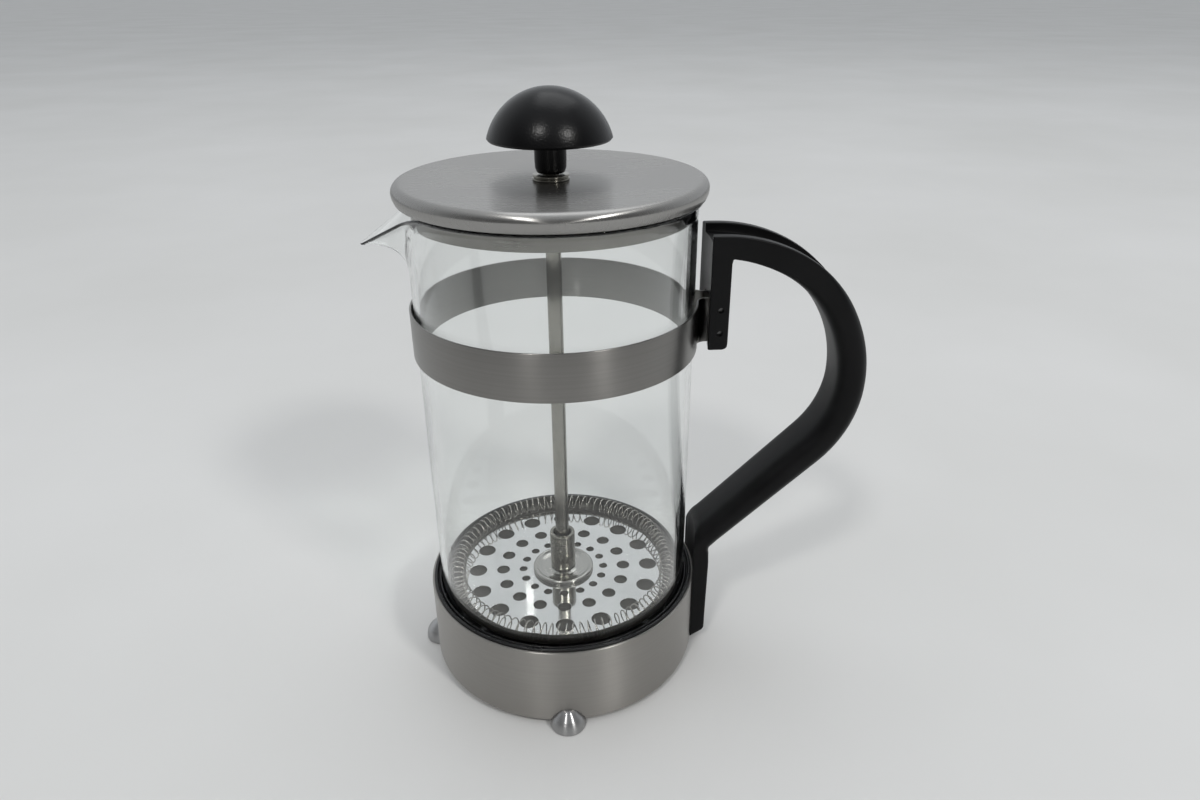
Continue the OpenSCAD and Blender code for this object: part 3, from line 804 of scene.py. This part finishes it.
def lid_line(offset):
    """The lid's top line from its middle to its lower edge, moved inward by offset."""
    pts = [(0, LID_TOP - 1.2 - offset)]
    for r in np.linspace(6, 46, 21):
        f = max(0.0, (r - 10) / 38.0)
        pts.append((r, LID_TOP - 1.2 + 1.12 * min(1.0, f) ** 1.6 - offset))
    e = 2.9
    c = (LID_R - e, LID_TOP - e)
    pts += arc(c, e - offset, 92, 0, 14)
    pts += [(LID_R - 0.15 - offset, LID_TOP - e - 1.2), (LID_R - 0.8 - offset, LID_LOW + 0.15)]
    return pts


def make_lid():
    t = 0.8
    outer, inner = lid_line(0), lid_line(t)
    hem = [(LID_R - 0.95, LID_LOW), (LID_R - 0.65 - t, LID_LOW)]
    hole = 4.1
    profile = [(hole, outer[1][1])] + outer[1:] + hem + inner[:0:-1] + [(hole, inner[1][1])]
    lathe("lid_cap_shell", profile, LID_STEEL, "lid", ["lid_cap"], 220, 40)


def make_lid_skirt():
    low, high = bottom("lid_skirt"), top("lid_skirt")
    r, t = 46.8, 0.6
    flange_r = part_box("lid_skirt")[1].y / MM
    mid = soften([(r - t, low), (r - t, high), (flange_r, high), (flange_r, high - t), (r, high - t), (r, low)],
                 [0.25, 1.3, 0.25, 0.25, 0.7, 0.25], 5)
    lathe("lid_skirt_ring", mid, SKIRT_STEEL, "lid", ["lid_skirt"], 200)


def make_collar():
    z, h, r = top("lid_collar") - 1.8, 1.8, 6.2
    bore, shank, low = ROD_R + 0.05, 4.0, bottom("lid_collar")
    outline = [(bore, low), (shank, low), (shank, z), (r, z), (r, z + 0.6), (r - 0.5, z + 0.75),
               (r - 0.5, z + 0.95), (r - 0.05, z + 1.1), (r - 0.1, z + h), (bore, z + h)]
    lathe("collar_bush", soften(outline, [0.1, 0.2, 0.05, 0.2, 0.15, 0.1, 0.1, 0.15, 0.5, 0.3], 3),
          TURNED, "collar", ["lid_collar"], 96)


# ---------------------------------------------------------------- plunger

def make_knob():
    low, high = bottom("knob"), top("knob")
    stem, rim_r, rim_z = 5.3, 20.8, 204.6
    h = high - rim_z
    dome = (rim_r ** 2 + h ** 2) / (2 * h)
    centre = high - dome
    a0 = math.degrees(math.asin((rim_z - centre) / dome))
    profile = [(0, low)] + soften(
        [(0, low), (stem - 0.7, low), (stem - 0.1, low + 1.6), (stem, low + 4), (stem, rim_z + 1.6),
         (rim_r - 3, rim_z + 1.3), (rim_r - 1.1, rim_z - 0.1), (rim_r, rim_z + 0.9)],
        [0, 0.6, 1.0, 1.0, 1.2, 1.5, 0.5, 0], 4, False)[1:-1]
    profile += [(p[0], p[1]) for p in arc((0, centre), dome, a0 + 2.4, 90, 40)][:-1] + [(0, high)]
    lathe("knob_dome", profile, KNOB_BLACK, "plunger", ["knob"], 128, 50)


def make_rod():
    low, high, r = bottom("plunger_rod"), top("plunger_rod"), ROD_R
    profile = soften([(0, low), (r, low), (r, low + 6), (r, high - 1), (r, high), (0, high)],
                     [0, 0.4, 0, 0, 0.4, 0], 3, False)
    lathe("rod_bar", profile, ROD_STEEL, "plunger", ["plunger_rod"], 64)


def make_ferrule():
    low, high, r = bottom("rod_ferrule"), top("rod_ferrule"), 5.0
    bore = ROD_R + 0.01
    outline = [(bore, low), (r - 0.2, low), (r - 0.2, low + 2.2), (r - 0.55, low + 2.5), (r - 0.55, low + 3.0),
               (r, low + 3.4), (r, high), (3.75, high), (3.75, high - 6), (bore, high - 8)]
    radii = [0, 0.3, 0.2, 0.15, 0.15, 0.2, 0.45, 0.3, 0.4, 0]
    lathe("ferrule_tube", soften(outline, radii, 4), TURNED, "plunger", ["rod_ferrule"], 80)


def make_boss():
    low, high, r = bottom("hub_boss"), top("hub_boss"), 12.3
    profile = [(5.02, low), (r - 0.9, low)] + arc((r - 0.95, low + 0.95), 0.95, -90, 150, 14)
    profile += soften([(r - 2.4, low + 1.15), (r - 3.6, low + 0.75), (8.0, low + 0.7), (6.2, low + 0.85),
                       (5.02, low + 1.3)], [0.3, 0.6, 0.6, 0.5, 0], 3, False)
    lathe("hub_washer", profile, POLISHED, "plunger", ["hub_boss"], 120, 50)


PLATE_Z = (bottom("filter_plate") + top("filter_plate")) / 2
PLATE_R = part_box("filter_plate")[1].y / MM
RINGS = ((35.2, 3.55), (24.8, 2.6), (16.5, 1.65))
HOLES = 16


def make_plate():
    """A round plate with three rings of holes, from a filled outline with rolled edges."""
    curve = bpy.data.curves.new("plate_outline", "CURVE")
    curve.dimensions = "2D"
    curve.fill_mode = "BOTH"
    curve.extrude = 0.28 * MM
    curve.bevel_depth = 0.12 * MM
    curve.bevel_resolution = 2
    curve.offset = -0.12 * MM

    def circle(x, y, r, n):
        spline = curve.splines.new("POLY")
        spline.points.add(n - 1)
        for i in range(n):
            a = TAU * i / n
            spline.points[i].co = ((x + r * math.cos(a)) * MM, (y + r * math.sin(a)) * MM, 0, 1)
        spline.use_cyclic_u = True

    circle(0, 0, PLATE_R, 200)
    circle(0, 0, ROD_R + 0.1, 32)
    for ring_r, hole_r in RINGS:
        for i in range(HOLES):
            a = math.radians(-90 + 360 * i / HOLES)
            circle(ring_r * math.cos(a), ring_r * math.sin(a), hole_r, 40)
    temp = bpy.data.objects.new("plate_temp", curve)
    bpy.context.scene.collection.objects.link(temp)
    graph = bpy.context.evaluated_depsgraph_get()
    graph.update()
    mesh = bpy.data.meshes.new_from_object(temp.evaluated_get(graph))
    bpy.data.objects.remove(temp)
    bpy.data.curves.remove(curve)
    mesh.transform(Matrix.Translation((0, 0, PLATE_Z * MM)))
    obj = bpy.data.objects.new("plate_disc", mesh)
    bpy.context.scene.collection.objects.link(obj)
    finish(obj, PLATE, "plunger", ["filter_plate"], 40)


def wobble(angle, waves, seed):
    """A smooth closed random curve of angle, about -1 to 1."""
    r = random.Random(seed)
    total = 0.0
    for k in waves:
        total += r.uniform(0.4, 1.0) * math.sin(k * angle + r.uniform(0, TAU)) / math.sqrt(len(waves))
    return total


def make_spring():
    """The wire coil bent into a ring, its loops a little uneven and leaning."""
    turns, per_turn = 94, 16
    ring_r, coil = 43.1, 2.88
    z = PLATE_Z + 0.4 + 0.75 + 3.1
    pts = []
    count = turns * per_turn
    for i in range(count):
        u = TAU * i / count
        theta = u + 0.06 * math.sin(u + 2.0) + 0.014 * wobble(u, (5, 9, 13), 3)
        lean = wobble(u, (7, 11, 17, 29), 11)
        phase = turns * u + 0.3 * lean
        c = coil * (1 + 0.05 * wobble(u, (6, 10, 15), 5))
        r = ring_r + c * math.cos(phase) + 0.12 * wobble(u, (3, 8), 9)
        h = z + c * 1.04 * math.sin(phase) + 0.25 * wobble(u, (2, 5, 9), 21)
        a = theta - math.pi / 2 + 0.016 * lean * math.sin(phase)
        pts.append((r * math.cos(a), r * math.sin(a), h))
    verts, faces = tube(pts, 0.25, 7)
    build("spring_coil", verts, faces, WIRE, "plunger", ["filter_spring"], 180)


def make_screen():
    """Wire cloth under the plate, turned up in small folds to about the middle of the spring."""
    z0 = bottom("mesh_screen") + 0.2
    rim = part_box("mesh_screen")[1].y / MM - 0.2
    high = top("mesh_screen")
    seg = 480
    profile = [(2.8, 0.0), (20, 0.0), (36, 0.0), (40.6, 0.0)]
    bend = 3.6
    profile += arc((rim - bend, bend), bend, -90, 0, 6)[1:]
    height = high - z0
    profile += [(rim, bend + (height - bend) * k / 6) for k in range(1, 7)]
    layers = []
    for side in (1, -1):
        rows = []
        for r, h in profile:
            row = []
            up = max(0.0, (h - 0.4) / height)
            for i in range(seg):
                a = TAU * i / seg
                fold = wobble(a, (34, 41, 55, 63), 2) * 0.22 + wobble(a, (90, 117), 4) * 0.10
                rr = r - up * (0.22 + 0.22 * abs(fold) + fold * 0.22)
                hh = h + (0.3 * wobble(a, (3, 7, 12, 19), 6) - 0.35) * up ** 3
                off = 0.14 * side
                if h > bend * 0.8:
                    rr += off
                    zz = hh
                else:
                    zz = hh - off
                row.append((rr * math.cos(a), rr * math.sin(a), z0 + zz))
            rows.append(row)
        layers.append(rows)
    rows = layers[0] + layers[1][::-1]
    verts = [p for row in rows for p in row]
    faces = []
    for k in range(len(rows)):
        m = (k + 1) % len(rows)
        for i in range(seg):
            j = (i + 1) % seg
            faces.append([k * seg + i, k * seg + j, m * seg + j, m * seg + i])
    build("screen_cloth", verts, faces, CLOTH, "plunger", ["mesh_screen"], 60)


# ---------------------------------------------------------------- hidden or small CAD nodes keep their shape

def dress(node, material):
    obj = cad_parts[node]
    obj.data.materials.clear()
    obj.data.materials.append(material)


make_base_cup()
make_base_liner()
for foot_name, foot_angle in (("foot_right", 0), ("foot_back", 90), ("foot_left", 180), ("foot_front", 270)):
    make_foot(foot_name, foot_angle)
make_band()
make_handle()
make_beaker()
make_lid()
make_lid_skirt()
make_collar()
make_knob()
make_rod()
make_ferrule()
make_boss()
make_plate()
make_spring()
make_screen()
for node_name, node_material in (
    ("handle_pins", PIN_STEEL_PAINTED_SHADE), ("tab_screw", FASTENER), ("tab_nut", FASTENER), ("collar_nut", FASTENER),
    ("bottom_nut", FASTENER), ("cross_plate", POLISHED), ("knob_insert", BRASS),
):
    dress(node_name, node_material)


# ---------------------------------------------------------------- floor, lights, camera

def make_floor():
    mesh = bpy.data.meshes.new("floor")
    size = 30.0
    mesh.from_pydata([(-size, -size, 0), (size, -size, 0), (size, size, 0), (-size, size, 0)], [], [(0, 1, 2, 3)])
    obj = bpy.data.objects.new("floor", mesh)
    bpy.context.scene.collection.objects.link(obj)
    mesh.materials.append(PAPER)


def aim(obj, target):
    way = Vector(target) - obj.location
    obj.rotation_euler = way.to_track_quat("-Z", "Y").to_euler()


def area_light(name, azimuth, elevation, distance, size, watts, colour):
    """A soft box. Azimuth is measured from the camera's side, -Y, towards +X."""
    light = bpy.data.lights.new(name, "AREA")
    light.shape = "SQUARE"
    light.size = size
    light.energy = watts
    light.color = colour
    obj = bpy.data.objects.new(name, light)
    a, e = math.radians(azimuth), math.radians(elevation)
    obj.location = (distance * math.cos(e) * math.sin(a), -distance * math.cos(e) * math.cos(a),
                    0.12 + distance * math.sin(e))
    bpy.context.scene.collection.objects.link(obj)
    aim(obj, (0, 0, 0.12))


def make_world():
    world = bpy.data.worlds.new("studio")
    bpy.context.scene.world = world
    world.use_nodes = True
    tree = world.node_tree
    background = tree.nodes["Background"]
    tex = add(tree, "ShaderNodeTexCoord")
    split = add(tree, "ShaderNodeSeparateXYZ")
    tree.links.new(tex.outputs["Generated"], split.inputs[0])
    back = remap(tree, split.outputs["Y"], 0.0, 1.0, -0.45, 0.35)
    high = remap(tree, split.outputs["Z"], 0.0, 1.0, 0.45, 0.98)
    either = add(tree, "ShaderNodeMath", operation="MAXIMUM")
    tree.links.new(back, either.inputs[0])
    tree.links.new(high, either.inputs[1])
    colour = blend_colours(tree, either.outputs[0], (0.19, 0.19, 0.19), (0.86, 0.89, 0.92), 0.0, 1.0)
    tree.links.new(colour, background.inputs["Color"])
    background.inputs["Strength"].default_value = 0.8


def make_camera():
    yaw, pitch, roll = math.radians(3.16), math.radians(26.39), math.radians(-0.42)
    forward = Vector((math.sin(yaw) * math.cos(pitch), math.cos(yaw) * math.cos(pitch), -math.sin(pitch)))
    right = Vector((math.cos(yaw), -math.sin(yaw), 0))
    up = right.cross(forward)
    right2 = right * math.cos(roll) + up * math.sin(roll)
    up2 = -right * math.sin(roll) + up * math.cos(roll)
    camera = bpy.data.cameras.new("camera")
    camera.lens = 25.385
    camera.sensor_width = 36
    camera.clip_start = 0.01
    camera.clip_end = 50
    obj = bpy.data.objects.new("camera", camera)
    turn = Matrix((right2, up2, -forward)).transposed().to_4x4()
    obj.matrix_world = Matrix.Translation((0, -0.28442, 0.25094)) @ turn
    bpy.context.scene.collection.objects.link(obj)
    bpy.context.scene.camera = obj


make_floor()
make_world()
area_light("light_left", -25, 50, 3.0, 0.36, 19.0, (1.0, 0.99, 0.97))
area_light("light_right", 39, 41, 3.0, 0.36, 24.0, (1.0, 0.99, 0.97))
area_light("light_top", 165, 66, 3.0, 2.0, 16.0, (0.97, 0.985, 1.0))
make_camera()
bpy.context.scene.view_settings.view_transform = "Standard"
